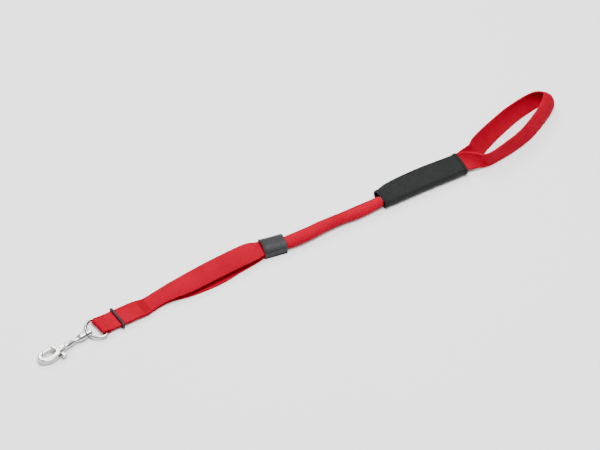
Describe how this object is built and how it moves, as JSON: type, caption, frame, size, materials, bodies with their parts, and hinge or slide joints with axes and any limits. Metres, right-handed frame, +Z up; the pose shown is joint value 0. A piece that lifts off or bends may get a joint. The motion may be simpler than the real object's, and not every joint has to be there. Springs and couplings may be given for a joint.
{
  "type": "shock-absorbing dog lead",
  "caption": "Short dog lead: swivel trigger snap, doubled strap with control handle and keeper, bungee, padded grip and hand loop.",
  "frame": {"origin": "middle of the flat underside of the moulded joint, on the surface that the lead lies on", "axes": "+X from the snap to the hand loop, +Z up, +Y to the left of +X"},
  "size_m": [0.7397, 0.061, 0.0245],
  "materials": {
    "nickel": "polished nickel plate",
    "dark_wire": "black nickel wire, satin",
    "spring_steel": "drawn wire",
    "red_webbing": "woven nylon webbing",
    "red_thread": "bonded thread",
    "grey_moulding": "fine moulded texture",
    "red_sheath": "ribbed woven tube",
    "rubber_core": "natural rubber strands",
    "crimp_steel": "zinc plated",
    "black_grip": "matt rubberised cloth",
    "black_binding": "bound edge",
    "grey_foam": "closed cell foam"
  },
  "bodies": {
    "strap": {"lead_strap": "red_webbing", "handle_stitches": "red_thread", "joint_cover_top": "grey_moulding", "joint_cover_base": "grey_moulding", "front_ferrule": "crimp_steel", "bungee_sheath": "red_sheath", "bungee_core": "rubber_core"},
    "keeper": {"keeper_ring": "dark_wire"},
    "eye": {"swivel_eye": "nickel"},
    "snap": {"snap_body": "nickel", "gate_pin": "crimp_steel", "gate_spring": "spring_steel", "swivel_rivet": "crimp_steel", "swivel_washer": "crimp_steel"},
    "gate": {"trigger_gate": "nickel"},
    "grip": {"grip_sleeve": "black_grip", "sleeve_bindings": "black_binding", "grip_padding": "grey_foam", "rear_ferrule": "crimp_steel", "hand_loop": "red_webbing", "tail_stitches": "red_thread"}
  },
  "joints": [
    {"name": "keeper_slide", "type": "slide", "parent": "strap", "child": "keeper", "axis": [0.9996, 0.0279, 0], "range_m": [-0.008, 0.026]},
    {"name": "eye_pivot", "type": "hinge", "parent": "strap", "child": "eye", "pos_m": [-0.23969, -0.00378, 0.0046], "axis": [-0.1132, 0.9936, 0], "range_deg": [-60, 60]},
    {"name": "swivel_spin", "type": "hinge", "parent": "eye", "child": "snap", "pos_m": [-0.23969, -0.00378, 0.0046], "axis": [0.9936, 0.1132, 0], "continuous": true},
    {"name": "gate_swing", "type": "hinge", "parent": "snap", "child": "gate", "pos_m": [-0.29986, -0.01013, 0.0046], "axis": [0, 0, 1], "range_deg": [0, 20], "stiffness_Nm_per_rad": 0.02, "springref_deg": -28.65},
    {"name": "bungee_stretch", "type": "slide", "parent": "strap", "child": "grip", "axis": [1, 0, 0], "range_m": [0, 0.1], "stiffness_N_per_m": 600, "deforming": ["bungee_sheath", "bungee_core"]}
  ]
}
